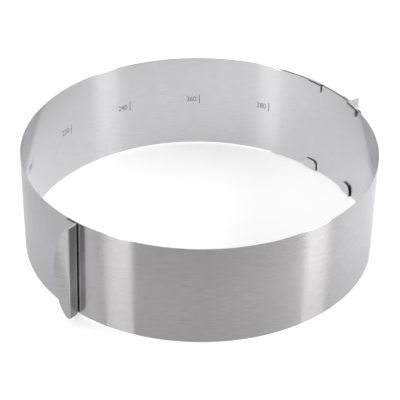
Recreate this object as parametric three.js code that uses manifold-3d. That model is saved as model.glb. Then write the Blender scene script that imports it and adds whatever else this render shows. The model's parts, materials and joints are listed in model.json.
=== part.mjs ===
// Adjustable cake ring of brushed stainless spring steel, millimetres, +Z up.
//
// One long strip is rolled into a ring whose two ends lie over each other. Folded lugs on the outer end
// hold the inner end against it, and two grips on the outside are drawn apart or together to set the
// diameter. The inner end points at the diameter on a scale that is etched on the inner face.
//
// The strip bends all along its length when the ring is set to another diameter. It is therefore built
// as a chain of short arcs, each with its true curvature, with a narrow slit wherever it may flex.
//
// Frame: the origin is the middle of the ring, level with the lowest folds. Seen from above the strip
// runs clockwise from its inner end to its outer end.

import * as THREE from 'three';
import { mergeVertices } from 'three/addons/utils/BufferGeometryUtils.js';
import Module from 'manifold-3d';

const wasm = await Module();
wasm.setup();

// The strip
const bandHeight = 85;
const sheet = 0.7;
const layerPitch = 1.7;          // from the middle of one layer to the middle of the next
const largestDiameter = 300;     // inside, where the strip is single
const smallestDiameter = 165;
const drawnIn = 18.7;            // how far the ring is set below its largest diameter
const overlapAtLargest = 43.4;   // what the ends still share at the largest diameter
const innerEndAngle = THREE.MathUtils.degToRad(63.35);

// The flexing arcs
const innerArcs = 15;            // from the inner end to the middle grip's arc
const outerArcs = 14;            // from that arc to the first lugs' arc
const flexSlit = 0.25;
const endArcLength = 37;         // carries the last lugs and the outer grip
const lugArcLength = 34;         // carries the first lugs
const gripArcLength = 30;        // carries the middle grip
const facetLength = 4.5;

// The lugs, folded from the strip's own edges
const lugWidth = 13.5;
const lugReach = 3.6;            // inwards, from the middle of the strip to the middle of the lug
const lugRise = 1.25;            // how far the fold stands beyond the strip's edge
const lugDrop = 9;               // from the strip's edge to the lug's free edge
const lugCorner = 4.5;
const lugRoot = 3;               // how far the fold is let into the strip
const foldThinning = 0.06;       // the sheet is thinner where it is folded
const lastLugFromEnd = 11.1;     // middle of the lugs, along the strip
const firstLugFromEnd = 59.4;

// The grips, bent from sheet of their own and spot-welded to the outside
const gripSheet = 1;
const gripEdgeMargin = 0.5;      // from the grip's ends to the strip's edges
const gripSeatGap = 0.3;
const gripFlange = 13;           // width of the welded flange
const gripFlangeCorner = 5;
const gripDepth = 9;             // from the flange to the finger plate's bend
const gripBend = 1.6;            // bend radius at the middle of the sheet
const gripPlate = 10.3;          // width of the rounded finger plate at half height
const gripFullness = 1.4;        // 1 is a half ellipse and 2 nearly an arc
const gripFlare = THREE.MathUtils.degToRad(25);
const gripLean = THREE.MathUtils.degToRad(1.65); // the upper end stands nearer to the strip's inner end
const gripTipShare = 0.05;       // width of the finger plate at its tips, as a share of its full width
const gripFromOuterEnd = 18.9;   // middle of the web
const gripStopGap = 6;           // from the web to the outer end, at the smallest diameter

const steel = { color: 0xb8babd, roughness: 0.32, metalness: 1 };
const gripSteel = { color: 0xacaeb1, roughness: 0.34, metalness: 1 };

// Lengths along the strip
const diameterAsSet = largestDiameter - drawnIn;
const stripLength = Math.PI * (largestDiameter + sheet) + overlapAtLargest;
const middleGripAt = stripLength - Math.PI * (smallestDiameter + sheet) + gripStopGap;
const outerGripAt = stripLength - gripFromOuterEnd;

// The strip's middle surface is a spiral that widens by one pitch in each turn.
const startRadius = (diameterAsSet + sheet - layerPitch) / 2;
const edgeLow = lugRise;
const edgeHigh = edgeLow + bandHeight;

function turnAt(along) {
  const grown = Math.sqrt(startRadius ** 2 + layerPitch * along / Math.PI) - startRadius;
  return 2 * Math.PI * grown / layerPitch;
}

function onRing(along, outwards, height) {
  const turn = turnAt(along);
  const radius = startRadius + layerPitch * turn / (2 * Math.PI) + outwards;
  const angle = innerEndAngle - turn;
  return new THREE.Vector3(radius * Math.cos(angle), radius * Math.sin(angle), height);
}

// Bent sheet as a closed solid: every point of a flat unit slab is carried to its place. The slab's first
// two shares, 0 to 1, say where on the sheet a point lies, and the third, -0.5 to 0.5, on which side.
const halfShare = 0.5;

function bentSheet(stepsAlong, stepsAcross, carry) {
  const slab = new THREE.BoxGeometry(1, 1, 1, stepsAlong, stepsAcross, 1);
  slab.deleteAttribute('normal');
  slab.deleteAttribute('uv');
  const solid = mergeVertices(slab);
  const points = solid.attributes.position;
  for (let i = 0; i < points.count; i += 1) {
    const place = carry(points.getX(i) + halfShare, points.getY(i) + halfShare, points.getZ(i));
    points.setXYZ(i, place.x, place.y, place.z);
  }
  return solid;
}

// Joins closed geometries into one.
function fuse(geometries) {
  const solids = geometries.map((geometry) => new wasm.Manifold(new wasm.Mesh({
    numProp: 3,
    vertProperties: Float32Array.from(geometry.attributes.position.array),
    triVerts: Uint32Array.from(geometry.index.array),
  })));
  const joined = solids.reduce((sum, solid) => sum.add(solid)).getMesh();
  const geometry = new THREE.BufferGeometry();
  geometry.setAttribute('position', new THREE.BufferAttribute(joined.vertProperties, 3));
  geometry.setIndex(new THREE.BufferAttribute(joined.triVerts, 1));
  return geometry;
}

// One arc of the strip, between two lengths along it
function bandArc(from, to) {
  const steps = Math.ceil((to - from) / facetLength);
  return bentSheet(steps, 1, (share, rise, side) => (
    onRing(from + share * (to - from), -side * sheet, edgeLow + rise * bandHeight)
  ));
}

// The fold's path, seen along the strip: x runs inwards and y away from the strip's edge. The root lies
// in the strip, a half ellipse carries the sheet over the inner layer, and the leg comes back down.
const lugSteps = 12;
const foldSteps = 8;
const legSteps = 3;

function foldPath(step, drop) {
  const half = lugReach / 2;
  const rise = lugRise - sheet / 2;
  if (step === 0) {
    return { x: 0, y: -lugRoot, normalX: 1, normalY: 0 };
  }
  if (step <= foldSteps + 1) {
    const turn = Math.PI * (step - 1) / foldSteps;
    const normal = new THREE.Vector2(rise * Math.cos(turn), -half * Math.sin(turn)).normalize();
    return {
      x: half - half * Math.cos(turn),
      y: rise * Math.sin(turn),
      normalX: normal.x,
      normalY: normal.y,
    };
  }
  const share = (step - foldSteps - 1) / legSteps;
  return { x: lugReach, y: -share * drop, normalX: -1, normalY: 0 };
}

// A lug on the strip's upper edge (way 1) or lower edge (way -1)
function lug(middle, way) {
  const thickness = sheet - foldThinning;
  const steps = 1 + foldSteps + legSteps;
  return bentSheet(lugSteps, steps, (share, across, side) => {
    const sideways = -Math.cos(Math.PI * share) * lugWidth / 2;
    const pastCorner = Math.max(0, Math.abs(sideways) - (lugWidth / 2 - lugCorner));
    const drop = lugDrop - lugCorner + Math.sqrt(Math.max(0, lugCorner ** 2 - pastCorner ** 2));
    const path = foldPath(Math.round(across * steps), drop);
    const offset = side * thickness * way;
    const inwards = path.x + offset * path.normalX;
    const height = path.y + offset * path.normalY;
    const edge = way > 0 ? edgeHigh : edgeLow;
    return onRing(middle + sideways, -inwards, edge + way * height);
  });
}

// The grip's path, seen from above: x runs along the strip from the web and y outwards. It starts at the
// flange's free edge, comes to the web, goes out, and turns back over the flange as the finger plate.
const gripHeightSteps = 28;
const flangeSteps = 3;
const bendSteps = 4;
const plateSteps = 5;
const gripSteps = flangeSteps + 2 * bendSteps + 1 + plateSteps;
const gripSeat = sheet / 2 + gripSeatGap + gripSheet / 2;
const gripHeight = bandHeight - 2 * gripEdgeMargin;

function gripPath(step, flangeWidth, plateWidth) {
  const crest = gripSeat + gripDepth - gripBend;
  if (step <= flangeSteps) {
    const share = 1 - step / flangeSteps;
    return { x: gripBend + share * (flangeWidth - gripBend), y: gripSeat, heading: Math.PI };
  }
  if (step <= flangeSteps + bendSteps) {
    const turn = (step - flangeSteps) / bendSteps * Math.PI / 2;
    return {
      x: gripBend - gripBend * Math.sin(turn),
      y: gripSeat + gripBend - gripBend * Math.cos(turn),
      heading: Math.PI - turn,
    };
  }
  const fullTurn = Math.PI / 2 - gripFlare;
  const turn = Math.min(1, (step - flangeSteps - bendSteps - 1) / bendSteps) * fullTurn;
  const bend = {
    x: gripBend - gripBend * Math.cos(turn),
    y: crest + gripBend * Math.sin(turn),
    heading: Math.PI / 2 - turn,
  };
  const plateShare = Math.max(0, step - flangeSteps - 2 * bendSteps - 1) / plateSteps;
  bend.x += plateShare * plateWidth * Math.cos(gripFlare);
  bend.y += plateShare * plateWidth * Math.sin(gripFlare);
  return bend;
}

// A grip with its web at a length along the strip, its finger plate turned along the strip (way 1) or
// back along it (way -1)
function grip(at, way) {
  const foot = edgeLow + gripEdgeMargin;
  return bentSheet(gripHeightSteps, gripSteps, (rise, share, side) => {
    const height = gripHeight * (1 - Math.cos(Math.PI * rise)) / 2;
    const toEnd = Math.min(height, gripHeight - height);
    const pastCorner = Math.max(0, gripFlangeCorner - toEnd);
    const cut = gripFlangeCorner - Math.sqrt(gripFlangeCorner ** 2 - pastCorner ** 2);
    const bulge = Math.sin(Math.PI * rise) ** gripFullness;
    const plate = gripPlate * (gripTipShare + (1 - gripTipShare) * bulge);
    const path = gripPath(Math.round(share * gripSteps), gripFlange - cut, plate);
    const lean = (height - gripHeight / 2) * Math.tan(gripLean);
    const offset = side * gripSheet * way;
    const x = path.x - offset * Math.sin(path.heading);
    const y = path.y + offset * Math.cos(path.heading);
    return onRing(at - lean + way * x, y, foot + height);
  });
}

// Where the strip may flex, as lengths along it
function evenly(from, to, count) {
  return Array.from({ length: count }, (_, i) => from + (to - from) * i / count);
}

const gripArcFrom = middleGripAt - (gripArcLength - gripFlange) / 2;
const gripArcTo = gripArcFrom + gripArcLength;
const endArcFrom = stripLength - endArcLength;
const lugArcFrom = endArcFrom - lugArcLength;
const stations = [
  ...evenly(0, gripArcFrom, innerArcs),
  gripArcFrom,
  ...evenly(gripArcTo, lugArcFrom, outerArcs),
  lugArcFrom,
  endArcFrom,
  stripLength,
];

const ring = new THREE.Group();

function addPiece(name, geometry, look) {
  const flat = geometry.toNonIndexed();
  flat.computeVertexNormals();
  const mesh = new THREE.Mesh(flat, new THREE.MeshStandardMaterial(look));
  mesh.name = name;
  ring.add(mesh);
}

function addBand() {
  const arcCount = stations.length - 1;
  for (let i = 0; i < arcCount; i += 1) {
    const from = stations[i] + (i > 0 ? flexSlit / 2 : 0);
    const to = stations[i + 1] - (i < arcCount - 1 ? flexSlit / 2 : 0);
    const solids = [bandArc(from, to)];
    for (const middle of [stripLength - firstLugFromEnd, stripLength - lastLugFromEnd]) {
      if (middle > from && middle < to) {
        solids.push(lug(middle, 1), lug(middle, -1));
      }
    }
    addPiece(`band_${String(i + 1).padStart(2, '0')}`, fuse(solids), steel);
  }
}

addBand();
addPiece('grip_middle', grip(middleGripAt, 1), gripSteel);
addPiece('grip_outer_end', grip(outerGripAt, -1), gripSteel);

export default ring;
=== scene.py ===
# %% [markdown]
# # An adjustable cake ring in brushed stainless steel
#
# The object is one long strip of spring steel, rolled into a ring whose two ends lie over each other.
# Lugs folded from the strip's own edges hold the ends together, two bent grips on the outside set the
# diameter, and a scale etched on the inside tells it. This lesson loads the finished CAD model as a
# frame, lays a finer strip, lugs, grips and scale over it, and lights the metal so that its brushed
# finish shows.

import json
import math

import bmesh
import bpy
import numpy as np
from mathutils import Matrix, Vector


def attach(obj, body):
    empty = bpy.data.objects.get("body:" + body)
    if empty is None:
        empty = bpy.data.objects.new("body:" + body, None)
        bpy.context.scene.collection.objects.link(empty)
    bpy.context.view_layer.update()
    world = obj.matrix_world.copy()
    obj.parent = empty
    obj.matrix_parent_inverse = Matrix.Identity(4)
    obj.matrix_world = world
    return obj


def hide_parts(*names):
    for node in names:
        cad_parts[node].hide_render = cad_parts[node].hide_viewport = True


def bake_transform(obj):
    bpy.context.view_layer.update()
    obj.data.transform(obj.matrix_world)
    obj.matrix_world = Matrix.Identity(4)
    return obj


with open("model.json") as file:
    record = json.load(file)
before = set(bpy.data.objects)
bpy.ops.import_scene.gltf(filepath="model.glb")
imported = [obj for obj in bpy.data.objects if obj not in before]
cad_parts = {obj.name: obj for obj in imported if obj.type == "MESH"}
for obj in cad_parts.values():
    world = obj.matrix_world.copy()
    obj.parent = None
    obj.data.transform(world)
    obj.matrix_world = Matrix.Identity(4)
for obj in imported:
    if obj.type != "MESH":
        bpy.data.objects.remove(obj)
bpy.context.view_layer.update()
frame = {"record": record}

# %% [markdown]
# ## Where the photograph was taken from
#
# The camera stood about 1.2 m away and looked down at the ring at 34 degrees. It could be moved by
# hand until the picture fits. Instead its place and focal length were worked out from the ring's two
# rims, which are circles of a known size, because that also gives the right perspective. The camera
# comes first, because every later piece is seen through it.

# %% The camera
SENSOR = 36.0                          # mm
IMAGE_SIZE = 400                       # pixels
FOCAL_PIXELS = 1496.7
CAMERA_PLACE = Vector((-0.003, -1.0035, 0.7103))
CAMERA_PAN = math.radians(-0.19)
CAMERA_PITCH = math.radians(34.0)      # downwards
CAMERA_ROLL = math.radians(0.76)

camera_data = bpy.data.cameras.new("camera")
camera_data.sensor_width = SENSOR
camera_data.lens = SENSOR * FOCAL_PIXELS / IMAGE_SIZE
camera = bpy.data.objects.new("camera", camera_data)
bpy.context.scene.collection.objects.link(camera)
pan = Matrix.Rotation(CAMERA_PAN, 4, "Z")
pitch = Matrix.Rotation(math.pi / 2 - CAMERA_PITCH, 4, "X")    # a new camera looks straight down
roll_about_view = Matrix.Rotation(CAMERA_ROLL, 4, "Z")
camera.matrix_world = Matrix.Translation(CAMERA_PLACE) @ pan @ (pitch @ roll_about_view)
bpy.context.scene.camera = camera
print("lens", round(camera_data.lens, 1), "mm")

# %% [markdown]
# ## The strip's path
#
# Every piece of this object lies on one line. Seen from above, the strip is a spiral that widens by one
# pitch in each turn, so that its outer end clears its inner end. The path could be drawn as a curve and
# sampled, but a formula gives each point at once and stays exact. A point is told by three plain
# lengths: how far along the strip it lies, how far outwards from the middle of the sheet, and how high.

# %% Sizes of the strip
MM = 0.001
BAND_HEIGHT = 85 * MM
SHEET = 0.7 * MM
PITCH = 1.7 * MM                       # from layer to layer
LARGEST = 300 * MM                     # inside diameters
SMALLEST = 165 * MM
CLOSED_BY = 18.7 * MM                  # from the largest diameter to the one that is set
AS_SET = LARGEST - CLOSED_BY
OVERLAP_AT_LARGEST = 43.4 * MM
INNER_END_ANGLE = math.radians(63.35)
EDGE_LOW = 1.25 * MM                   # the ring stands on the lower lugs
EDGE_HIGH = EDGE_LOW + BAND_HEIGHT
STRIP_LENGTH = math.pi * (LARGEST + SHEET) + OVERLAP_AT_LARGEST
START_RADIUS = (AS_SET + SHEET - PITCH) / 2
print("strip", round(STRIP_LENGTH / MM, 1), "mm long, as set", round(AS_SET / MM, 1), "mm inside")


# %% The spiral's formula
def turn_at(along):
    """How far the strip has turned about the axis, in radians, at a length along it."""
    return 2 * math.pi * (np.sqrt(START_RADIUS ** 2 + PITCH * along / math.pi) - START_RADIUS) / PITCH


def on_ring(along, outwards, height):
    """Points in space, from lengths along the strip, out of it and above the table."""
    along, outwards, height = np.broadcast_arrays(np.asarray(along, float), outwards, height)
    turn = turn_at(along)
    radius = START_RADIUS + PITCH * turn / (2 * math.pi) + outwards
    angle = INNER_END_ANGLE - turn
    return np.stack([radius * np.cos(angle), radius * np.sin(angle), height], -1)


print("the strip makes", round(turn_at(STRIP_LENGTH) / (2 * math.pi), 3), "turns")

# %% [markdown]
# ## The arcs and their hinges
#
# The real strip flexes all along its length. The CAD model flexes in 31 places instead, and the record
# gives each hinge's place, from which the arcs' ends and middles follow. The visible strip could be cut
# at the hinges too, but then every slit would show. It is cut at the middles of the arcs, so that each
# of its pieces crosses one hinge and runs smoothly over it.

# %% Stations along the strip
SHOWN_ARCS = (0, 15, 30, 31)           # those whose lengths are printed

hinges = sorted(frame["record"]["behaviour"]["joints"], key=lambda joint: joint["name"])
ARCS = len(hinges) + 1


def along_at(place):
    """The length along the strip of a point of it. Its radius tells which turn it lies on."""
    spiral_turn = 2 * math.pi * (math.hypot(place[0], place[1]) - START_RADIUS) / PITCH
    turn = (INNER_END_ANGLE - math.atan2(place[1], place[0])) % (2 * math.pi)
    turn += 2 * math.pi * round((spiral_turn - turn) / (2 * math.pi))
    radius = START_RADIUS + PITCH * turn / (2 * math.pi)
    return math.pi * (radius ** 2 - START_RADIUS ** 2) / PITCH


stations = [0.0] + [along_at(hinge["pos_m"]) for hinge in hinges] + [STRIP_LENGTH]
middles = [(stations[i] + stations[i + 1]) / 2 for i in range(ARCS)]
print(ARCS, "arcs of", [round((stations[i + 1] - stations[i]) / MM, 2) for i in SHOWN_ARCS], "mm")

# %% [markdown]
# ## Where the strip stays stiff
#
# Under a welded grip and beside a folded lug the real strip hardly bends. The bend of a piece could
# simply run from one cut to the next, but it would then warp these places. So each hinge gets a zone
# of its own, which stops short of the grips and lugs.

# %% Places of the lugs and grips
LUG_WIDTH = 13.5 * MM
LUGS_AT = (STRIP_LENGTH - 59.4 * MM, STRIP_LENGTH - 11.1 * MM)
GRIP_FLANGE = 13 * MM
MIDDLE_GRIP_AT = STRIP_LENGTH - math.pi * (SMALLEST + SHEET) + 6 * MM
OUTER_GRIP_AT = STRIP_LENGTH - 18.9 * MM
GRIP_LEAN = math.radians(1.65)         # the grips are welded on slightly askew
GRIP_SWAY = BAND_HEIGHT / 2 * math.tan(GRIP_LEAN)

stiff = [
    (MIDDLE_GRIP_AT - GRIP_SWAY, MIDDLE_GRIP_AT + GRIP_FLANGE),
    (OUTER_GRIP_AT - GRIP_FLANGE, OUTER_GRIP_AT + GRIP_SWAY),
]
stiff += [(at - LUG_WIDTH / 2, at + LUG_WIDTH / 2) for at in LUGS_AT]
print("stiff parts", [[round(end / MM, 1) for end in part] for part in stiff], "mm along")

# %% Bend zones
STIFF_MARGIN = 0.7 * MM


def bend_zone(hinge):
    """Where the strip bends about a hinge: from arc middle to arc middle, less the stiff parts."""
    low, high = middles[hinge], middles[hinge + 1]
    for start, end in stiff:
        if start < stations[hinge + 1] and end > low:
            low = max(low, end + STIFF_MARGIN)
        if end > stations[hinge + 1] and start < high:
            high = min(high, start - STIFF_MARGIN)
    return low, high


print("bend zone of the last hinge", [round(end / MM, 1) for end in bend_zone(ARCS - 2)], "mm along")

# %% [markdown]
# ## Writing node maths as plain expressions
#
# Node trees for shapes and finishes hold many small sums. They could be wired up node by node, but
# then nobody can read the sum. A wire is an output socket that understands Python's operators, so a sum
# on wires adds the Math nodes that it needs. Every other node comes from one function, which sets the
# node's own settings before its sockets.

# %% Adding nodes
def add_node(tree, kind, settings=None, sockets=None, output=0):
    """Adds a node with its settings, then with its sockets' values or wires. Gives one output."""
    node = tree.nodes.new(kind)
    for name, value in (settings or {}).items():
        if name == "stops":            # of a colour ramp, as positions and levels
            ramp = node.color_ramp.elements
            for i, (position, level) in enumerate(value):
                stop = ramp[i] if i < len(ramp) else ramp.new(position)
                stop.position, stop.color = position, (level, level, level, 1.0)
        elif name == "captures":       # names of the numbers that a Capture Attribute node keeps
            for item in value:
                node.capture_items.new("FLOAT", item)
        else:
            setattr(node, name, value)
    for name, value in (sockets or {}).items():
        if isinstance(value, Wire):
            tree.links.new(value.socket, node.inputs[name])
        else:
            node.inputs[name].default_value = value
    return Wire(node.outputs[output]) if node.outputs else None


def maths(operation, *values):
    """A Math node on wires and numbers."""
    tree = next(value for value in values if isinstance(value, Wire)).socket.id_data
    return add_node(tree, "ShaderNodeMath", {"operation": operation}, dict(enumerate(values)))


print("nodes can be added")


# %% Wires
class Wire:
    """An output socket of a node tree, for use in expressions."""

    def __init__(self, socket):
        self.socket = socket

    def __getitem__(self, name):
        """Another output of the same node."""
        return Wire(self.socket.node.outputs[name])

    def __add__(self, other):
        return maths("ADD", self, other)

    def __sub__(self, other):
        return maths("SUBTRACT", self, other)

    def __rsub__(self, other):
        return maths("SUBTRACT", other, self)

    def __mul__(self, other):
        return maths("MULTIPLY", self, other)

    def __truediv__(self, other):
        return maths("DIVIDE", self, other)

    def __rtruediv__(self, other):
        return maths("DIVIDE", other, self)

    def __pow__(self, other):
        return maths("POWER", self, other)

    def __rpow__(self, other):
        return maths("POWER", other, self)

    __radd__ = __add__
    __rmul__ = __mul__


print("wires understand + - * / and **, also with a number before them")

# %% [markdown]
# ## The strip, rolled by Geometry Nodes
#
# The real strip is cut from 0.7 mm spring steel, its edges are dressed so that they do not cut the
# hand, and it is rolled. It could be a curve with a bevel, but a swept curve turns its section along
# the way. The node tree sweeps the dressed section along a straight line and then carries every point
# to the spiral by the formula above, which keeps the layers exactly one pitch apart.

# %% The rolling tree and its inputs
FLOAT = "NodeSocketFloat"
ROLLING_INPUTS = {
    "Cross-Section": "NodeSocketGeometry",
    "From": FLOAT,                     # lengths along the strip
    "To": FLOAT,
    "Step": FLOAT,
    "Start Radius": FLOAT,
    "Pitch": FLOAT,
    "Inner End Angle": FLOAT,
    "Finish": "NodeSocketMaterial",
}

rolling = bpy.data.node_groups.new("rolled_strip", "GeometryNodeTree")
for label, kind in ROLLING_INPUTS.items():
    rolling.interface.new_socket(label, in_out="INPUT", socket_type=kind)
rolling.interface.new_socket("Strip", in_out="OUTPUT", socket_type="NodeSocketGeometry")
given = add_node(rolling, "NodeGroupInput")
print("inputs:", ", ".join(ROLLING_INPUTS))

# %% Sweep the section along a straight line
start = add_node(rolling, "ShaderNodeCombineXYZ", None, {"X": given["From"]})
end = add_node(rolling, "ShaderNodeCombineXYZ", None, {"X": given["To"]})
line = add_node(rolling, "GeometryNodeCurvePrimitiveLine", {"mode": "POINTS"},
                {"Start": start, "End": end})
count = maths("CEIL", (given["To"] - given["From"]) / given["Step"]) + 1
line = add_node(rolling, "GeometryNodeResampleCurve", None, {"Curve": line, "Count": count})
place = add_node(rolling, "GeometryNodeInputPosition")
place = add_node(rolling, "ShaderNodeSeparateXYZ", None, {"Vector": place})
line = add_node(rolling, "GeometryNodeCaptureAttribute", {"captures": ["Along"]},
                {"Geometry": line, "Along": place["X"]})
section = add_node(rolling, "GeometryNodeMeshToCurve", None, {"Mesh": given["Cross-Section"]})
section = add_node(rolling, "GeometryNodeCaptureAttribute", {"captures": ["Outwards", "Height"]},
                   {"Geometry": section, "Outwards": place["X"], "Height": place["Y"]})
solid = add_node(rolling, "GeometryNodeCurveToMesh", None,
                 {"Curve": line, "Profile Curve": section, "Fill Caps": True})
print(len(rolling.nodes), "nodes so far")

# %% Carry every point to the spiral
first_radius = given["Start Radius"]
along, outwards, height = line["Along"], section["Outwards"], section["Height"]
grown = (first_radius ** 2 + given["Pitch"] * along / math.pi) ** 0.5 - first_radius
radius = first_radius + grown + outwards
angle = given["Inner End Angle"] - grown * (2 * math.pi) / given["Pitch"]
rolled = add_node(rolling, "ShaderNodeCombineXYZ", None, {
    "X": radius * maths("COSINE", angle),
    "Y": radius * maths("SINE", angle),
    "Z": height,
})
solid = add_node(rolling, "GeometryNodeSetPosition", None, {"Geometry": solid, "Position": rolled})
print(len(rolling.nodes), "nodes so far")

# %% Shade it, keep its flat map and give it its finish
SHARP = math.radians(40)               # folds above this stay sharp in the shading

solid = add_node(rolling, "GeometryNodeSetShadeSmooth", {"domain": "FACE"},
                 {"Geometry": solid, "Shade Smooth": True})
fold = add_node(rolling, "GeometryNodeInputMeshEdgeAngle")
sharp = add_node(rolling, "FunctionNodeCompare", {"operation": "GREATER_THAN"}, {"A": fold, "B": SHARP})
solid = add_node(rolling, "GeometryNodeSetShadeSmooth", {"domain": "EDGE"},
                 {"Geometry": solid, "Selection": sharp, "Shade Smooth": False})
flat_place = add_node(rolling, "ShaderNodeCombineXYZ", None, {"X": along, "Y": height})
solid = add_node(rolling, "GeometryNodeStoreNamedAttribute",
                 {"data_type": "FLOAT2", "domain": "CORNER"},
                 {"Geometry": solid, "Name": "UVMap", "Value": flat_place})
solid = add_node(rolling, "GeometryNodeRealizeInstances", None, {"Geometry": solid})
solid = add_node(rolling, "GeometryNodeSetMaterial", None,
                 {"Geometry": solid, "Material": given["Finish"]})
add_node(rolling, "NodeGroupOutput", None, {"Strip": solid})
print(len(rolling.nodes), "nodes in the rolling tree")

# %% [markdown]
# ## Brushed steel
#
# The sheet was brushed along its length with a fine belt, which leaves thousands of tiny scratches.
# They spread every reflection up and down the wall but hardly sideways, so the lamps show as upright
# bands. Real scratches could be cut into the surface, but they would be far finer than a pixel. The
# shader's anisotropy does the spreading, turned a quarter so that it follows the height, and noise
# drawn out along the strip varies the tone, the gloss and the relief a little. The noise reads the
# strip's flat map, whose lengths are in metres, so it follows the sheet round the ring.

# %% Lines drawn out along the sheet
# Lines per metre up the sheet, breaks per metre along it, detail and warp.
SCRATCHES = (2200.0, 110.0, 1.0, 0.0)
STREAKS = (900.0, 12.0, 2.0, 0.0)
CLOUDS = (30.0, 12.0, 3.0, 0.4)


def brushed(tree, flat, lines, breaks, detail, warp):
    """Noise on the flat map, drawn out along the sheet."""
    stretched = add_node(tree, "ShaderNodeVectorMath", {"operation": "MULTIPLY"},
                         {0: flat, 1: (breaks, lines, 1.0)})
    return add_node(tree, "ShaderNodeTexNoise", {"noise_dimensions": "2D"},
                    {"Vector": stretched, "Scale": 1.0, "Detail": detail, "Distortion": warp})


print("scratches about", round(1 / SCRATCHES[0] / MM, 2), "by", round(1 / SCRATCHES[1] / MM), "mm")

# %% One brushed finish
PLAIN_TONE = 0.845                     # with the marks' shares below, the mean tone is close to 1
SCRATCH_TONE, STREAK_TONE, CLOUD_TONE = 0.24, 0.03, 0.03
MARK_ROUGHNESS = 0.03
SCRATCH_RELIEF, STREAK_RELIEF = 0.6, 0.4
RELIEF_STRENGTH, RELIEF_DEPTH = 0.04, 0.01 * MM
QUARTER_TURN = 0.25


def steel(name, tone, roughness, spread):
    """A brushed steel finish. Its face attribute paints shade: faces in narrow gaps and under the lugs'
    folds come out darker.
    """
    finish = bpy.data.materials.new(name)
    finish.use_nodes = True
    tree = finish.node_tree
    tree.nodes.clear()
    flat = add_node(tree, "ShaderNodeUVMap", {"uv_map": "UVMap"})
    scratches, streaks, clouds = (brushed(tree, flat, *kind) for kind in (SCRATCHES, STREAKS, CLOUDS))
    # Painted shade: this face attribute darkens the colour in narrow gaps and under the lugs' folds.
    joint = add_node(tree, "ShaderNodeAttribute", {"attribute_name": "joint"})["Fac"]
    marks = scratches * SCRATCH_TONE + streaks * STREAK_TONE + clouds * CLOUD_TONE
    shade = (PLAIN_TONE + marks) * (1 - joint)
    colour = add_node(tree, "ShaderNodeVectorMath", {"operation": "SCALE"}, {0: tone, "Scale": shade})
    relief = scratches * SCRATCH_RELIEF + streaks * STREAK_RELIEF
    bump = add_node(tree, "ShaderNodeBump", None,
                    {"Strength": RELIEF_STRENGTH, "Distance": RELIEF_DEPTH, "Height": relief})
    surface = add_node(tree, "ShaderNodeBsdfPrincipled", None, {
        "Base Color": colour,
        "Metallic": 1.0,
        "Roughness": roughness - MARK_ROUGHNESS + (scratches + streaks) * MARK_ROUGHNESS,
        "Anisotropic": spread,
        "Anisotropic Rotation": QUARTER_TURN,
        "Normal": bump,
    })
    add_node(tree, "ShaderNodeOutputMaterial", None, {"Surface": surface})
    print(name, "with", len(tree.nodes), "nodes")
    return finish


print("the marks change the tone by up to", round(SCRATCH_TONE + STREAK_TONE + CLOUD_TONE, 2))

# %% [markdown]
# ## Three steels
#
# Strip and lugs are the same brushed sheet. Over the lugs' folds the brushing runs round a tight bend,
# so its spread is left out there. The grips are bent from a thicker sheet that is a little darker, and
# their narrow faces show the scratches but no upright spread. One material could do for all three, but
# each of these small differences shows in the light.

# %% The finishes
STRIP_TONE = (0.622, 0.617, 0.637)
GRIP_TONE = (0.604, 0.603, 0.616)

strip_steel = steel("strip_steel", STRIP_TONE, roughness=0.19, spread=1.0)
fold_steel = steel("fold_steel", STRIP_TONE, roughness=0.14, spread=0.0)
grip_steel = steel("grip_steel", GRIP_TONE, roughness=0.2, spread=0.0)
print("three finishes")

# %% [markdown]
# ## The strip's pieces
#
# The dressed edge of the real sheet catches a fine line of light. A bevel could round it on the rolled
# mesh, but it is simpler to draw the rounded section once and sweep it. Each rolled piece runs from the
# middle of one arc to the middle of the next and crosses the hinge between them. Together they close
# every slit that the CAD chain needs, so the ring looks like the one unbroken sheet that it is.

# %% The dressed cross-section
EDGE_ROUND = 0.16 * MM
ROUND_STEPS = 3
GUARD = 0.35 * MM                      # keeps the rounding's shading off the flat faces


def dressed_section(thickness, low, high):
    """The sheet's closed outline, as (outwards, height) points, with rounded corners."""
    points = []
    for sx, sy, first in ((1, 1, 0), (-1, 1, 1), (-1, -1, 2), (1, -1, 3)):
        cx = sx * (thickness / 2 - EDGE_ROUND)
        cy = (high if sy > 0 else low) - sy * EDGE_ROUND
        corner = []
        for step in range(ROUND_STEPS + 1):
            turn = (first + step / ROUND_STEPS) * math.pi / 2
            corner.append((cx + EDGE_ROUND * math.cos(turn), cy + EDGE_ROUND * math.sin(turn)))
        guard = (sx * thickness / 2, cy - sy * GUARD)
        points += [guard] + corner if sx * sy > 0 else corner + [guard]
    return points


section_points = dressed_section(SHEET, EDGE_LOW, EDGE_HIGH)
print(len(section_points), "points round the cross-section")


# %% Helpers for every mesh
def link_new(name, mesh):
    """A new object in the scene, at the origin."""
    piece = bpy.data.objects.new(name, mesh)
    bpy.context.scene.collection.objects.link(piece)
    return piece


def settle(piece):
    """Swaps a piece's modifiers for the plain mesh that they give."""
    before = piece.data
    depsgraph = bpy.context.evaluated_depsgraph_get()
    piece.data = bpy.data.meshes.new_from_object(piece.evaluated_get(depsgraph))
    piece.modifiers.clear()
    bpy.data.meshes.remove(before)
    piece.data.name = piece.name


def face_outwards(mesh):
    """Points all faces of a closed mesh outwards."""
    shape = bmesh.new()
    shape.from_mesh(mesh)
    bmesh.ops.recalc_face_normals(shape, faces=shape.faces)
    shape.to_mesh(mesh)
    shape.free()


def ring_texture_space(mesh):
    """Centres the mesh's texture space on the ring's axis, which turns the brushing round that axis."""
    mesh.use_auto_texspace = False
    mesh.texspace_location = (0.0, 0.0, 0.0)
    mesh.texspace_size = (AS_SET, AS_SET, AS_SET)


print("texture space", round(AS_SET / MM, 1), "mm each way from the axis")

# %% Roll one piece of the strip
STRIP_STEP = 1.1 * MM

inputs = {item.name: item.identifier
          for item in rolling.interface.items_tree if item.in_out == "INPUT"}
print("identifiers", inputs)


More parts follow.
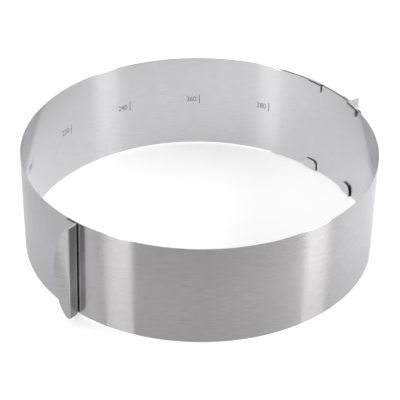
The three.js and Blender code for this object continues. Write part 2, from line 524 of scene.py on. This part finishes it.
def roll_piece(name, low, high):
    """One piece of the strip between two lengths along it, as a plain mesh."""
    last = len(section_points)
    outline = bpy.data.meshes.new(name + "_section")
    outline.from_pydata([(x, y, 0.0) for x, y in section_points],
                        [(i, (i + 1) % last) for i in range(last)], [])
    piece = link_new(name, outline)
    roll = piece.modifiers.new("roll", "NODES")
    roll.node_group = rolling
    sizes = {"From": low, "To": high, "Step": STRIP_STEP, "Start Radius": START_RADIUS,
             "Pitch": PITCH, "Inner End Angle": INNER_END_ANGLE, "Finish": strip_steel}
    for label, value in sizes.items():
        roll[inputs[label]] = value
    settle(piece)
    face_outwards(piece.data)
    ring_texture_space(piece.data)
    return piece


# %% Tie the end pieces to their arcs
def body_name(arc):
    return "arc_%02d" % (arc + 1)


def node_name(arc):
    return "band_%02d" % (arc + 1)


def follow_strip(piece, index):
    """For number 0, the inner end, and number ARCS, the outer end, it ties a piece to the arc there so
    that it moves with it. Any other piece only has its transform baked into its mesh.
    """
    if index in (0, ARCS):
        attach(piece, body_name(min(index, ARCS - 1)))
        return
    low, high = (on_ring(at, 0.0, EDGE_LOW) for at in bend_zone(index - 1))
    body_name(index - 1)
    body_name(index)
    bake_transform(piece)


print("bodies from", body_name(0), "to", body_name(ARCS - 1))

# %% All pieces of the strip
borders = [0.0] + middles + [STRIP_LENGTH]
for index in range(ARCS + 1):
    piece = roll_piece("strip_%02d" % (index + 1), borders[index], borders[index + 1])
    follow_strip(piece, index)
    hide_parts(node_name(min(index, ARCS - 1)))
print(ARCS + 1, "pieces, the last with", len(piece.data.polygons), "faces")

# %% [markdown]
# ## Bent sheet
#
# Lugs and grips are sheet bent in one direction. They could be modelled flat and bent by a modifier,
# but then every bend needs a modifier of its own. It is simpler to write a rule that carries each point
# of a flat slab to its place, row by row. A small bevel then dresses the cut edges.

# %% The faces of a slab
FRONT_LAYER, BACK_LAYER, RIM = 0, 1, 2


def slab_faces(columns, rows):
    """The faces of a closed grid of two layers, each with the row and the layer that it lies in."""
    layer = (columns + 1) * (rows + 1)
    faces, spots = [], []
    for i in range(columns):
        for j in range(rows):
            a, b = i * (rows + 1) + j, (i + 1) * (rows + 1) + j
            faces += [(a, b, b + 1, a + 1), (a + layer, a + 1 + layer, b + 1 + layer, b + layer)]
            spots += [(j, FRONT_LAYER), (j, BACK_LAYER)]
    rim = [i * (rows + 1) for i in range(columns + 1)]
    rim += [columns * (rows + 1) + j for j in range(1, rows + 1)]
    rim += [i * (rows + 1) + rows for i in range(columns - 1, -1, -1)]
    rim += list(range(rows - 1, 0, -1))
    for a, b in zip(rim, rim[1:] + rim[:1]):
        faces.append((b, a, a + layer, b + layer))
        spots.append((min(a % (rows + 1), b % (rows + 1), rows - 1), RIM))
    return faces, spots


print(len(slab_faces(2, 3)[0]), "faces in a slab of 2 columns and 3 rows")

# %% Dress the cut edges
DRESS_STEPS = 2
DRESS_ANGLE = math.radians(50)


def dress_edges(piece, width):
    """Rounds the sharp edges and leaves a plain mesh."""
    dress = piece.modifiers.new("dress", "BEVEL")
    dress.width = width
    dress.segments = DRESS_STEPS
    dress.limit_method = "ANGLE"
    dress.angle_limit = DRESS_ANGLE
    dress.harden_normals = True
    settle(piece)


print("edges sharper than", round(math.degrees(DRESS_ANGLE)), "degrees are dressed")


# %% A slab carried to its place
def bent_sheet(name, columns, rows, carry, finish_at, flat_size, painted_shade_rows, brushed_down_rows=False):
    """A closed sheet. carry turns shares along it (0 to 1), row numbers and a side (0.5 in front, -0.5
    at the back) into places. finish_at gives each row's finish, and a dictionary by layer gives the
    painted shade of its rows: how much it darkens each row's colour."""
    share = np.repeat(np.arange(columns + 1) / columns, rows + 1)
    row = np.tile(np.arange(rows + 1), columns + 1)
    faces, spots = slab_faces(columns, rows)
    mesh = bpy.data.meshes.new(name)
    places = np.concatenate([carry(share, row, side) for side in (0.5, -0.5)])
    mesh.from_pydata(places.tolist(), [], faces)
    flat = np.stack([share * flat_size[0], row / rows * flat_size[1]], -1)
    if brushed_down_rows:
        flat = flat[:, ::-1]
    corners = np.array([loop.vertex_index % len(share) for loop in mesh.loops])
    mesh.uv_layers.new(name="UVMap").data.foreach_set("uv", flat[corners].ravel())
    finishes = list(dict.fromkeys(finish_at(j) for j in range(rows)))
    for finish in finishes:
        mesh.materials.append(finish)
    mesh.polygons.foreach_set("material_index", [finishes.index(finish_at(j)) for j, _ in spots])
    mesh.polygons.foreach_set("use_smooth", [True] * len(faces))
    # Painted shade: a face attribute that darkens the colour of the rows given for each layer.
    joint = mesh.attributes.new("joint", "FLOAT", "FACE")
    joint.data.foreach_set("value", [painted_shade_rows.get(layer, {}).get(j, 0.0) for j, layer in spots])
    face_outwards(mesh)
    return link_new(name, mesh)


print("bent sheet ready")

# %% [markdown]
# ## The lugs
#
# Four tabs with round corners are folded from the strip's own edges near its outer end. They go over
# the edge of the inner layer and down again, so that the layers can slide but not part. A fold could be
# half a circle, but this one is wide and low, so it is half an ellipse. Its sides are left open, which
# shows as a dark slot beside each lug. The shade that gathers under the upper folds is painted on,
# because the lamps alone leave it too light.

# %% Sizes of the lugs
LUG_REACHES = (3.1 * MM, 3.6 * MM)     # the first pair lies closer to the wall
LUG_RISE = EDGE_LOW
LUG_DROP = 9 * MM
LUG_CORNER = 4.5 * MM
LUG_ROOT = 3 * MM
LUG_SHEET = SHEET - 0.06 * MM          # so that the root stays inside the strip's faces
LUG_DRESS = 0.12 * MM
LUG_COLUMNS, FOLD_ROWS, LEG_ROWS = 30, 14, 5
LUG_ROWS = 1 + FOLD_ROWS + LEG_ROWS
# Painted shade: the fold's last rows, on the back layer of each upper lug, are darkened.
CREASE_ROWS, CREASE_DARKNESS = 4, 0.75
CREASE_SHADE = dict.fromkeys(range(FOLD_ROWS + 1 - CREASE_ROWS, FOLD_ROWS + 1), CREASE_DARKNESS)
print("creased rows", list(CREASE_SHADE), "of", LUG_ROWS)


# %% The fold of a lug
def fold_path(row, reach, drop):
    """Inwards and away from the strip's edge, with the sheet's normal, at a row of the lug."""
    half, rise = reach / 2, LUG_RISE - SHEET / 2
    turn = math.pi * np.clip(row - 1, 0, FOLD_ROWS) / FOLD_ROWS
    inwards = half - half * np.cos(turn)
    away = rise * np.sin(turn)
    nx, ny = rise * np.cos(turn), -half * np.sin(turn)
    length = np.hypot(nx, ny)
    nx, ny = nx / length, ny / length
    leg = np.maximum(0, row - FOLD_ROWS - 1) / LEG_ROWS
    away = np.where(leg > 0, -leg * drop, away)
    away = np.where(row == 0, -LUG_ROOT, away)
    nx, ny = np.where(leg > 0, -1.0, nx), np.where(leg > 0, 0.0, ny)
    return inwards, away, nx, ny


def lug_finish(row):
    return fold_steel if 1 <= row <= FOLD_ROWS else strip_steel


top_of_fold = fold_path(np.array([1 + FOLD_ROWS // 2]), LUG_REACHES[0], LUG_DROP)[1][0]
print("the fold's middle stands", round(top_of_fold / MM, 2), "mm past the edge")


# %% One lug
def lug(name, middle, reach, way):
    """A lug about a length along the strip, on the upper edge (way 1) or the lower one (way -1)."""
    def carry(share, row, side):
        sideways = -np.cos(math.pi * share) * LUG_WIDTH / 2
        past = np.maximum(0, np.abs(sideways) - (LUG_WIDTH / 2 - LUG_CORNER))
        drop = LUG_DROP - LUG_CORNER + np.sqrt(np.maximum(0, LUG_CORNER ** 2 - past ** 2))
        x, y, nx, ny = fold_path(row, reach, drop)
        offset = side * LUG_SHEET * way
        edge = EDGE_HIGH if way > 0 else EDGE_LOW
        return on_ring(middle + sideways, -(x + offset * nx), edge + way * (y + offset * ny))

    # Only the upper lugs get the painted shade under their folds.
    piece = bent_sheet(name, LUG_COLUMNS, LUG_ROWS, carry, lug_finish, (LUG_WIDTH, 2 * LUG_DROP),
                       {BACK_LAYER: CREASE_SHADE} if way > 0 else {})
    dress_edges(piece, LUG_DRESS)
    ring_texture_space(piece.data)
    return piece


print("a lug has", LUG_COLUMNS, "columns and", LUG_ROWS, "rows")

# %% All lugs
LUG_ARCS = (ARCS - 2, ARCS - 1)

for number, (at, reach, arc) in enumerate(zip(LUGS_AT, LUG_REACHES, LUG_ARCS), 1):
    for side_name, way in (("top", 1), ("bottom", -1)):
        piece = lug("lug_%s_%d" % (side_name, number), at, reach, way)
        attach(piece, body_name(arc))
        print(piece.name, len(piece.data.polygons), "faces")

# %% [markdown]
# ## The grips
#
# Each grip is a strip of 1 mm sheet, welded to the outside by a flange. From there a web stands
# outwards and turns back as a finger plate, whose free edge is a long bow. A thumb and finger hook
# behind the two plates to draw the ring smaller. The bow could be cut from a flat plate by a curve.
# Here the rule widens the plate row by row, so that its faces stay even round both bends. Painted
# dark rows stand for the shade in the corner between flange and web and along the flange's edge, and
# the middle grip's web carries a painted dark reflection.

# %% Sizes of the grips
GRIP_SHEET = 1 * MM
GRIP_MARGIN = 0.5 * MM                 # from the strip's edges
GRIP_SEAT = SHEET / 2 + 0.3 * MM + GRIP_SHEET / 2
GRIP_HEIGHT = BAND_HEIGHT - 2 * GRIP_MARGIN
GRIP_CORNER = 5 * MM
GRIP_DEPTH = 9 * MM
GRIP_BEND = 1.6 * MM
PLATE_BEND = 0.7 * MM
GRIP_PLATE = 10.8 * MM                 # the finger plate at the middle of its bow
BOW_FULLNESS = 1.4
BOW_TIP = 0.05                         # the plate's width at its ends, as a share of the middle's
PLATE_FLARE = math.radians(25)
GRIP_FLAT_LENGTH = 35 * MM
GRIP_DRESS = 0.18 * MM
GRIP_COLUMNS, FLANGE_ROWS, BEND_ROWS, PLATE_ROWS = 72, 5, 8, 8
WEB_ROW = FLANGE_ROWS + BEND_ROWS
GRIP_ROWS = WEB_ROW + 1 + BEND_ROWS + PLATE_ROWS
print("rows", GRIP_ROWS, "seat", round(GRIP_SEAT / MM, 2), "mm out of the strip's middle")

# %% Painted shade on rows of the grips
CORNER_DARKNESS = 0.9
LIT_ROWS = 4                           # of the bend, next to the web
MIDDLE_WEB_PAINTED_REFLECTION = 0.42             # painted dark reflection: the middle grip's web mirrors dark surroundings

CORNER = dict.fromkeys(range(FLANGE_ROWS + 1, WEB_ROW - LIT_ROWS), CORNER_DARKNESS)
FLANGE_EDGE_SHADE = dict.fromkeys(range(FLANGE_ROWS), CORNER_DARKNESS)
print("dark rows", list(CORNER), "and on the rim", list(FLANGE_EDGE_SHADE))


# %% The section of a grip
def grip_path(row, flange, plate):
    """Along the strip from the web, outwards, and the sheet's heading, at a row of the grip."""
    first = np.clip((row - FLANGE_ROWS) / BEND_ROWS, 0, 1) * math.pi / 2
    left = np.maximum(0, FLANGE_ROWS - row) / FLANGE_ROWS
    low = (GRIP_BEND - GRIP_BEND * np.sin(first) + left * (flange - GRIP_BEND),
           GRIP_SEAT + GRIP_BEND - GRIP_BEND * np.cos(first), math.pi - first)
    second = np.clip((row - WEB_ROW - 1) / BEND_ROWS, 0, 1) * (math.pi / 2 - PLATE_FLARE)
    out = np.maximum(0, row - WEB_ROW - BEND_ROWS - 1) / PLATE_ROWS * plate
    high = (PLATE_BEND - PLATE_BEND * np.cos(second) + out * math.cos(PLATE_FLARE),
            GRIP_SEAT + GRIP_DEPTH - PLATE_BEND + PLATE_BEND * np.sin(second)
            + out * math.sin(PLATE_FLARE),
            math.pi / 2 - second)
    return [np.where(row <= WEB_ROW, a, b) for a, b in zip(low, high)]


def grip_finish(row):
    return strip_steel if row < FLANGE_ROWS else grip_steel


tip = grip_path(np.array([GRIP_ROWS]), GRIP_FLANGE, GRIP_PLATE)
print("the plate's edge stands", round(tip[1][0] / MM, 1), "mm out of the strip's middle")


# %% One grip
def grip(name, at, way, web_painted_reflection):
    """A grip whose web stands at a length along the strip. Its flange points on (way 1) or back."""
    def carry(share, row, side):
        height = GRIP_HEIGHT * (1 - np.cos(math.pi * share)) / 2
        past = np.maximum(0, GRIP_CORNER - np.minimum(height, GRIP_HEIGHT - height))
        cut = GRIP_CORNER - np.sqrt(np.maximum(0, GRIP_CORNER ** 2 - past ** 2))
        bow = np.maximum(0, np.sin(math.pi * share)) ** BOW_FULLNESS
        x, y, heading = grip_path(row, GRIP_FLANGE - cut, GRIP_PLATE * (BOW_TIP + (1 - BOW_TIP) * bow))
        offset = side * GRIP_SHEET * way
        lean = (height - GRIP_HEIGHT / 2) * math.tan(GRIP_LEAN)
        return on_ring(at - lean + way * (x - offset * np.sin(heading)),
                       y + offset * np.cos(heading), EDGE_LOW + GRIP_MARGIN + height)

    # Painted shade in the corner between flange and web and along the flange's edge, and a painted dark
    # reflection on the web.
    inside = FRONT_LAYER if way > 0 else BACK_LAYER
    painted_shade_rows = {inside: {**CORNER, WEB_ROW: web_painted_reflection}, RIM: FLANGE_EDGE_SHADE}
    piece = bent_sheet(name, GRIP_COLUMNS, GRIP_ROWS, carry, grip_finish,
                       (GRIP_HEIGHT, GRIP_FLAT_LENGTH), painted_shade_rows, brushed_down_rows=True)
    dress_edges(piece, GRIP_DRESS)
    ring_texture_space(piece.data)
    return piece


print("a grip has", GRIP_COLUMNS, "columns and", GRIP_ROWS, "rows")

# %% Both grips
MIDDLE_GRIP_ARC = 15

for name, at, way, web_painted_reflection, arc in (
        ("grip_middle", MIDDLE_GRIP_AT, 1, MIDDLE_WEB_PAINTED_REFLECTION, MIDDLE_GRIP_ARC),
        ("grip_outer_end", OUTER_GRIP_AT, -1, 0.0, ARCS - 1)):
    piece = grip(name + "_sheet", at, way, web_painted_reflection)
    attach(piece, body_name(arc))
    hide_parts(name)
    print(piece.name, len(piece.data.polygons), "faces")

# %% [markdown]
# ## The scale
#
# Diameters in millimetres are etched on the inside, with a short upright mark at each. The inner end
# of the strip points at the one that is set. The scale could be painted by a picture, but real outlines
# stay crisp at any distance. They are laid flat, cut where the strip's pieces meet, and carried onto
# the wall by the same rule as the strip.

# %% The etched finish
ETCHED_TONE = (0.16, 0.158, 0.165)
ETCHED_METAL = 0.4
ETCHED_ROUGHNESS, GRAIN_ROUGHNESS = 0.5, 0.3
ETCHED_GRAINS = 2600.0                 # per metre
GRAIN_DETAIL = 3.0
GRAIN_MIDDLE = 0.5                     # a noise's mean, which brings the mean tone to 1
OBJECT_OUTPUT = 3                      # of a Texture Coordinate node

etched = bpy.data.materials.new("etched_steel")
etched.use_nodes = True
tree = etched.node_tree
tree.nodes.clear()
own_place = add_node(tree, "ShaderNodeTexCoord", output=OBJECT_OUTPUT)
grain = add_node(tree, "ShaderNodeTexNoise", None,
                 {"Vector": own_place, "Scale": ETCHED_GRAINS, "Detail": GRAIN_DETAIL})
dark = add_node(tree, "ShaderNodeVectorMath", {"operation": "SCALE"},
                {0: ETCHED_TONE, "Scale": grain + GRAIN_MIDDLE})
surface = add_node(tree, "ShaderNodeBsdfPrincipled", None, {
    "Base Color": dark,
    "Roughness": ETCHED_ROUGHNESS + grain * GRAIN_ROUGHNESS,
    "Metallic": ETCHED_METAL,
})
add_node(tree, "ShaderNodeOutputMaterial", None, {"Surface": surface})
print(etched.name, "with", len(tree.nodes), "nodes")

# %% Sizes of the scale
MARKED = range(180, 301, 20)           # mm of diameter
FIGURE_HIGH, FIGURES_WIDE = 5.0 * MM, 8.4 * MM
FIGURE_LOW = EDGE_LOW + 42.0 * MM
MARK_GAP = 2.8 * MM
MARK_WIDE, MARK_HIGH = 0.6 * MM, 8.8 * MM
MARK_LOW = EDGE_LOW + 39.9 * MM
ETCH = 0.02 * MM
CURVE_STEPS = 5                        # of a figure's round parts
print("figures", ", ".join(str(diameter) for diameter in MARKED))


# %% A number, laid flat
def flat_figures(text):
    """A number's outlines at their real size, with their lower right corner at the origin."""
    curve = bpy.data.curves.new("figures", "FONT")
    curve.body = text
    curve.extrude = 0.5                # of any thickness, because it is scaled below
    curve.resolution_u = CURVE_STEPS
    words = link_new("figures", curve)
    depsgraph = bpy.context.evaluated_depsgraph_get()
    mesh = bpy.data.meshes.new_from_object(words.evaluated_get(depsgraph))
    bpy.data.objects.remove(words)
    bpy.data.curves.remove(curve)
    places = np.empty(len(mesh.vertices) * 3)
    mesh.vertices.foreach_get("co", places)
    places = places.reshape(-1, 3)
    low, high = places.min(0), places.max(0)
    shares = (places - low) / (high - low)
    places = (shares - (1, 0, 0)) * (FIGURES_WIDE, FIGURE_HIGH, ETCH)
    mesh.vertices.foreach_set("co", places.ravel())
    return mesh


print("figures", round(FIGURE_HIGH / MM, 1), "mm high")

# %% All figures and marks, laid flat
MERGE = 0.001 * MM

scale_flat = bmesh.new()
for diameter in MARKED:
    at = STRIP_LENGTH - OVERLAP_AT_LARGEST - math.pi * (LARGEST - diameter * MM)
    mesh = flat_figures(str(diameter))
    mesh.transform(Matrix.Translation((at - MARK_GAP, FIGURE_LOW, 0)))
    scale_flat.from_mesh(mesh)
    bpy.data.meshes.remove(mesh)
    size = Matrix.Diagonal((MARK_WIDE, MARK_HIGH, ETCH, 1))
    middle = Matrix.Translation((at, MARK_LOW + MARK_HIGH / 2, ETCH / 2))
    bmesh.ops.create_cube(scale_flat, size=1, matrix=middle @ size)
bmesh.ops.remove_doubles(scale_flat, verts=scale_flat.verts, dist=MERGE)
print(len(scale_flat.faces), "faces in the flat scale")

# %% Cut a part of the scale and carry it onto the wall
WALL_CLEARANCE = 0.004 * MM            # how far the etching dips into the wall


def scale_part(low, high):
    """The flat scale between two lengths along the strip, closed at its cuts."""
    part = scale_flat.copy()
    for border, keep_above in ((low, True), (high, False)):
        cut = bmesh.ops.bisect_plane(part, geom=part.verts[:] + part.edges[:] + part.faces[:],
                                     plane_co=(border, 0, 0), plane_no=(1, 0, 0),
                                     clear_inner=keep_above, clear_outer=not keep_above)
        edges = [item for item in cut["geom_cut"] if isinstance(item, bmesh.types.BMEdge)]
        if edges:
            bmesh.ops.holes_fill(part, edges=edges, sides=0)
    return part


def onto_wall(part):
    """Carries a flat part onto the inner face of the strip."""
    bmesh.ops.triangulate(part, faces=part.faces)
    places = np.array([vert.co for vert in part.verts])
    inwards = SHEET / 2 - WALL_CLEARANCE + places[:, 2]
    for vert, spot in zip(part.verts, on_ring(places[:, 0], -inwards, places[:, 1])):
        vert.co = spot
    bmesh.ops.recalc_face_normals(part, faces=part.faces)


print("the etching stands", round((ETCH - WALL_CLEARANCE) / MM, 3), "mm out of the wall")

# %% The scale, one part for each piece of the strip
for index in range(ARCS + 1):
    part = scale_part(borders[index], borders[index + 1])
    if part.faces:
        onto_wall(part)
        mesh = bpy.data.meshes.new("scale_%02d" % (index + 1))
        part.to_mesh(mesh)
        mesh.materials.clear()
        mesh.materials.append(etched)
        piece = link_new(mesh.name, mesh)
        follow_strip(piece, index)
        print(piece.name, len(mesh.polygons), "faces")
    part.free()
scale_flat.free()

# %% [markdown]
# ## The floor
#
# The ring stands on a plain white floor in a plain studio. Metal shows its surroundings, so these
# matter as much as the finish. A floor that only reflects the lamps would come out grey, and one that
# only glows would lose the ring's shadow. This one does both: it is matt and pale, and a steady lift
# brings it to white for the camera, in the metal and through anything clear.

# %% Lay the floor
FLOOR_REACH = 6.0
FLOOR_GREY = (0.8, 0.8, 0.8, 1)
FLOOR_LIFT = 0.45


def level_plane(name, places, faces):
    """A flat piece of the stage."""
    mesh = bpy.data.meshes.new(name)
    mesh.from_pydata(places, [], faces)
    plane = link_new(name, mesh)
    return plane


corners = [(x * FLOOR_REACH, y * FLOOR_REACH, 0.0) for x, y in ((-1, -1), (1, -1), (1, 1), (-1, 1))]
floor = level_plane("floor", corners, [(0, 1, 2, 3)])
print(floor.name, 2 * FLOOR_REACH, "m wide")

# %% The floor's white
white = bpy.data.materials.new("white_floor")
white.use_nodes = True
tree = white.node_tree
tree.nodes.clear()
ray = add_node(tree, "ShaderNodeLightPath")
lifted = maths("MAXIMUM", maths("MAXIMUM", ray["Is Camera Ray"], ray["Is Glossy Ray"]),
               ray["Is Transmission Ray"])
lift_colour = add_node(tree, "ShaderNodeVectorMath", {"operation": "SCALE"},
                       {0: (1, 1, 1), "Scale": lifted})
matt = add_node(tree, "ShaderNodeBsdfDiffuse", None, {"Color": FLOOR_GREY})
lift = add_node(tree, "ShaderNodeEmission", None, {"Color": lift_colour, "Strength": FLOOR_LIFT})
both = add_node(tree, "ShaderNodeAddShader", None, {0: matt, 1: lift})
add_node(tree, "ShaderNodeOutputMaterial", None, {"Surface": both})
floor.data.materials.append(white)
print(white.name, "lifted by", FLOOR_LIFT)

# %% [markdown]
# ## The glowing card
#
# The wall of the ring mirrors what lies before it. In the studio that was not an endless white floor
# but a set with greys of its own, and they give the wall its dark middle and two bright bands. The set
# could be modelled, though nothing shows it but the steel. A card that glows in these greys takes its
# place on the floor in front, and its levels were set until the steel looked right. It is part
# of the stage: the camera does not see it, and it lights nothing matt and throws no shadow.

# %% The card's levels
# Brightness by the direction, in degrees, of the upright line of wall that mirrors it to the camera.
CARD_LEVELS = (
    (186, 0.86), (194, 0.8), (204, 0.75), (219, 0.72), (236.5, 0.7), (240.6, 0.58), (241.1, 0.84),
    (249.8, 0.88), (250.3, 0.52), (254, 0.55), (272, 0.53), (290, 0.62), (300, 0.73), (303.2, 0.79),
    (303.8, 1.12), (311, 1.0), (312.3, 0.95), (313, 0.74), (318, 0.87), (322, 0.92), (345, 1.0),
)
# Farther out the card's contrast is stronger: its gain and shift, by mm from the wall.
CARD_REACH = ((-2, 0.77, 0.1), (20, 0.77, 0.1), (65, 1.0, 0.0), (110, 1.4, -0.35), (300, 1.4, -0.35))
# Cool at the sides (0) and warm in front (1), by the same direction.
CARD_WARMTH = ((186, 0), (225, 0), (238, 1), (312, 1), (320, 0), (345, 0))
COOL, WARM = (0.995, 0.993, 1.012), (1.02, 1.0, 0.98)
CARD_STEP = 0.3                        # degrees

degrees = np.arange(CARD_LEVELS[0][0], CARD_LEVELS[-1][0] + CARD_STEP / 3, CARD_STEP)
reach, gain, shift = np.array(CARD_REACH).T
levels = np.interp(degrees, *zip(*CARD_LEVELS))[:, None] * gain + shift
warmth = np.interp(degrees, *zip(*CARD_WARMTH))[:, None, None]
glows = levels[:, :, None] * (np.array(COOL) * (1 - warmth) + np.array(WARM) * warmth)
print(glows.shape[0], "by", glows.shape[1], "points on the card")

# %% Lay the card where the wall mirrors it
CARD_HEIGHT = 0.2 * MM
WALL_RADIUS = 0.1415

wall = WALL_RADIUS * np.stack([np.cos(np.radians(degrees)), np.sin(np.radians(degrees))], -1)
sight = np.arctan2(CAMERA_PLACE.y - wall[:, 1], CAMERA_PLACE.x - wall[:, 0])
mirrored = 2 * np.radians(degrees) - sight
mirrored = np.stack([np.cos(mirrored), np.sin(mirrored)], -1)
spots = wall[:, None] + mirrored[:, None] * (reach * MM)[:, None]
spots = np.concatenate([spots, np.full(spots.shape[:2] + (1,), CARD_HEIGHT)], -1)
rows = len(reach)
cells = [(i * rows + j, i * rows + j + 1, (i + 1) * rows + j + 1, (i + 1) * rows + j)
         for i in range(len(degrees) - 1) for j in range(rows - 1)]
card = level_plane("card", spots.reshape(-1, 3).tolist(), cells)
card.visible_camera = card.visible_shadow = card.visible_diffuse = False
print(card.name, "with", len(cells), "faces")

# %% Light the card
card.data.attributes.new("light", "FLOAT_VECTOR", "POINT").data.foreach_set("vector", glows.ravel())
glowing_card = bpy.data.materials.new("card")
glowing_card.use_nodes = True
tree = glowing_card.node_tree
tree.nodes.clear()
light = add_node(tree, "ShaderNodeAttribute", {"attribute_name": "light"})
glow = add_node(tree, "ShaderNodeEmission", None, {"Color": light, "Strength": 1.0})
add_node(tree, "ShaderNodeOutputMaterial", None, {"Surface": glow})
card.data.materials.append(glowing_card)
print("card levels from", round(float(levels.min()), 2), "to", round(float(levels.max()), 2))

# %% [markdown]
# ## The sky
#
# Above the floor's far edge lies the room. The brushing spreads every reflection up into it, and it
# fills the shadows. A single white would make the steel look like paper, and a picture of a studio
# would bring colours of its own. So the room is plain grey levels: white round the horizon, darker in
# front above it, and white again overhead.

# %% The room's levels
# Round the room above the horizon, as a share of a whole turn that starts at -X and runs by -Y.
ROOM = ((0.0, 0.7), (0.05, 0.7), (0.09, 0.12), (0.42, 0.12), (0.5, 0.9), (1.0, 0.9))
WHITE = (1.0, 1.0, 1.0, 1.0)
ROOM_STARTS, ROOM_FULL = 0.14, 0.24    # heights as the sine of the angle above the horizon
CEILING_STARTS, CEILING_FULL = 0.9, 0.98

studio = bpy.data.worlds.new("studio")
bpy.context.scene.world = studio
studio.use_nodes = True
sky = studio.node_tree
sky.nodes.clear()
heading = add_node(sky, "ShaderNodeTexCoord")
heading = add_node(sky, "ShaderNodeSeparateXYZ", None, {"Vector": heading})
round_turn = maths("ARCTAN2", heading["Y"], heading["X"]) / (2 * math.pi) + 0.5
room = add_node(sky, "ShaderNodeValToRGB", {"stops": ROOM}, {"Fac": round_turn})
print(len(ROOM), "stops round the room")


# %% From the horizon to the ceiling
def step_up(low, high):
    """A soft step from 0 to 1 between two heights."""
    return add_node(sky, "ShaderNodeMapRange", {"interpolation_type": "SMOOTHSTEP"},
                    {"Value": heading["Z"], "From Min": low, "From Max": high})


def mix_colours(share, low, high):
    """A Mix node on colours, whose sockets 6 and 7 are its colour inputs and 2 its colour output."""
    return add_node(sky, "ShaderNodeMix", {"data_type": "RGBA"}, {0: share, 6: low, 7: high}, 2)


above = mix_colours(step_up(ROOM_STARTS, ROOM_FULL), WHITE, room)
whole = mix_colours(step_up(CEILING_STARTS, CEILING_FULL), above, WHITE)
background = add_node(sky, "ShaderNodeBackground", None, {"Color": whole, "Strength": 1.0})
add_node(sky, "ShaderNodeOutputWorld", None, {"Surface": background})
print(studio.name, "with", len(sky.nodes), "nodes")

# %% [markdown]
# ## The soft boxes
#
# Two soft boxes light the ring. They show on the inner wall as two bright upright bands and give the
# floor its soft shadows. Point lamps would leave hard glints instead. A round wall bends the image
# of a box, so each box leans a little, which brings its band upright again.

# %% Set up the soft boxes
SOFT_BOXES = {
    "left_box": {"place": (-2.05, -1.93, 1.1), "aim": (0, 0, 0.05), "lean": 8.0,
                 "wide": 0.7, "high": 0.7, "watts": 42.0},
    "right_box": {"place": (0.572, -0.214, 0.34), "aim": (0, 0, 0.1), "lean": -12.0,
                  "wide": 0.18, "high": 0.24, "watts": 3.3},
}


def soft_box(name, place, aim, lean, wide, high, watts):
    """A rectangular lamp that faces a point and leans by some degrees about that line."""
    lamp = bpy.data.lights.new(name, "AREA")
    lamp.shape = "RECTANGLE"
    lamp.size, lamp.size_y = wide, high
    lamp.energy = watts
    box = link_new(name, lamp)
    box.location = place
    facing = (Vector(aim) - Vector(place)).to_track_quat("-Z", "Y").to_matrix()
    box.rotation_euler = (facing @ Matrix.Rotation(math.radians(lean), 3, "Z")).to_euler()
    box.visible_camera = False


for name, setting in SOFT_BOXES.items():
    soft_box(name, **setting)
    print(name, setting["watts"], "W")

# %% [markdown]
# ## The view transform
#
# The view transform is set to Standard, which shows the rendered colours without a film curve.

# %% Set the view transform
bpy.context.scene.view_settings.view_transform = "Standard"
print("view transform", bpy.context.scene.view_settings.view_transform)
